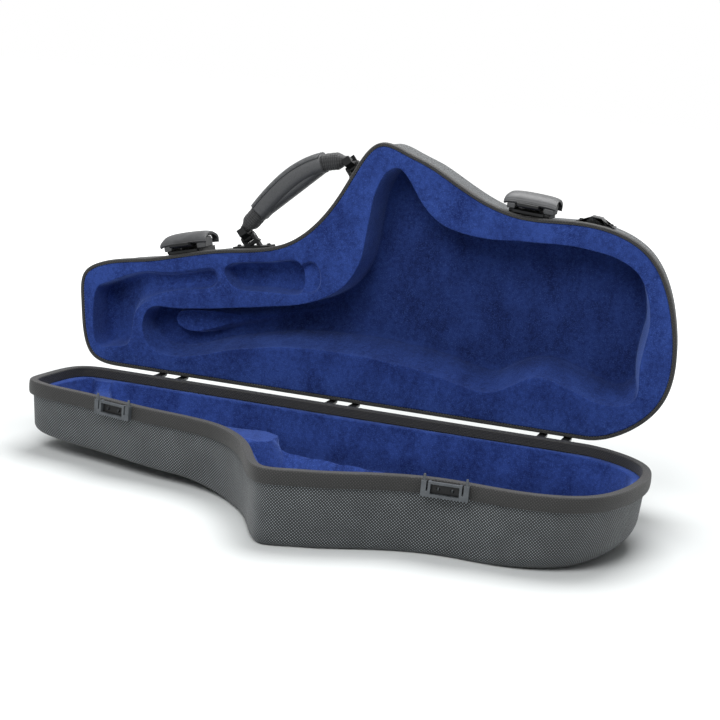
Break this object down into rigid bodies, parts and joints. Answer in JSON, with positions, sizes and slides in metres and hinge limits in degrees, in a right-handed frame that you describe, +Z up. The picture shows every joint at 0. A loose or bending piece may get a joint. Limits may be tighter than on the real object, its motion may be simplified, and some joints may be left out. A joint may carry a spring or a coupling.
{
  "type": "alto saxophone case",
  "caption": "Shaped hard case for an alto saxophone, with a hinged lid, draw latches, a swinging padded handle and recessed plush linings, stored open.",
  "frame": {"origin": "on the flat underside of the base, below the middle of the rim's outline", "axes": "+X along the case from the neck end to the bow end, -Y the handle side, +Y the hinge side, +Z up; stored with the base lying flat and the lid open"},
  "size_m": [0.6526, 0.3628, 0.3504],
  "materials": {
    "woven_cloth": "black and grey woven cloth bonded to a moulded board",
    "rim_band": "smooth satin",
    "blue_plush": "short-pile plush over moulded foam",
    "grey_plastic": "satin moulded",
    "black_plastic": "satin moulded",
    "black_steel": "black paint",
    "bright_steel": "plain",
    "grip_leather": "pebbled, dark grey",
    "webbing": "ribbed black webbing"
  },
  "bodies": {
    "base": {"base_lining": "blue_plush", "base_rim": "rim_band", "base_shell": "woven_cloth", "catch_left_frame": "grey_plastic", "catch_left_insert": "black_plastic", "catch_left_rivet_a": "bright_steel", "catch_left_rivet_b": "bright_steel", "catch_right_frame": "grey_plastic", "catch_right_insert": "black_plastic", "catch_right_rivet_a": "bright_steel", "catch_right_rivet_b": "bright_steel", "hinge_left_base_leaf": "black_steel", "hinge_left_pin": "bright_steel", "hinge_middle_base_leaf": "black_steel", "hinge_middle_pin": "bright_steel", "hinge_right_base_leaf": "black_steel", "hinge_right_pin": "bright_steel"},
    "handle": {"handle_grip": "grip_leather", "handle_left_link": "black_plastic", "handle_right_link": "black_plastic", "handle_webbing": "webbing"},
    "lid": {"handle_left_bracket": "black_plastic", "handle_left_pin": "bright_steel", "handle_left_screw_a": "bright_steel", "handle_left_screw_b": "bright_steel", "handle_right_bracket": "black_plastic", "handle_right_pin": "bright_steel", "handle_right_screw_a": "bright_steel", "handle_right_screw_b": "bright_steel", "hinge_left_lid_leaf": "black_steel", "hinge_middle_lid_leaf": "black_steel", "hinge_right_lid_leaf": "black_steel", "latch_left_lever_pin": "bright_steel", "latch_left_plate": "black_plastic", "latch_right_lever_pin": "bright_steel", "latch_right_plate": "black_plastic", "lid_lining": "blue_plush", "lid_rim": "rim_band", "lid_shell": "woven_cloth", "strap_loop": "webbing", "strap_loop_rivet_a": "bright_steel", "strap_loop_rivet_b": "bright_steel"},
    "claw_left": {"latch_left_claw": "black_plastic"},
    "lever_left": {"latch_left_claw_pin": "bright_steel", "latch_left_lever": "grey_plastic"},
    "claw_right": {"latch_right_claw": "black_plastic"},
    "lever_right": {"latch_right_claw_pin": "bright_steel", "latch_right_lever": "grey_plastic"}
  },
  "joints": [
    {"name": "lid_hinge", "type": "hinge", "parent": "base", "child": "lid", "pos_m": [0, 0.144, 0.06925], "axis": [1, 0, 0], "range_deg": [0, 91]},
    {"name": "latch_left_lever_pivot", "type": "hinge", "parent": "lid", "child": "lever_left", "pos_m": [-0.21016, 0.18776, 0.21869], "axis": [-0.971, -0.0042, -0.2392], "range_deg": [0, 70]},
    {"name": "latch_left_claw_pivot", "type": "hinge", "parent": "lever_left", "child": "claw_left", "pos_m": [-0.21064, 0.1748, 0.22086], "axis": [0.971, 0.0042, 0.2392], "range_deg": [0, 5]},
    {"name": "latch_right_lever_pivot", "type": "hinge", "parent": "lid", "child": "lever_right", "pos_m": [0.16145, 0.18927, 0.30491], "axis": [-0.9976, 0.0012, 0.0695], "range_deg": [0, 70]},
    {"name": "latch_right_claw_pivot", "type": "hinge", "parent": "lever_right", "child": "claw_right", "pos_m": [0.16159, 0.17631, 0.30713], "axis": [0.9976, -0.0012, -0.0695], "range_deg": [0, 5]},
    {"name": "handle_swing", "type": "hinge", "parent": "lid", "child": "handle", "pos_m": [-0.14543, 0.18497, 0.23028], "axis": [0.7811, 0.0109, 0.6243], "range_deg": [-60, 60]}
  ]
}
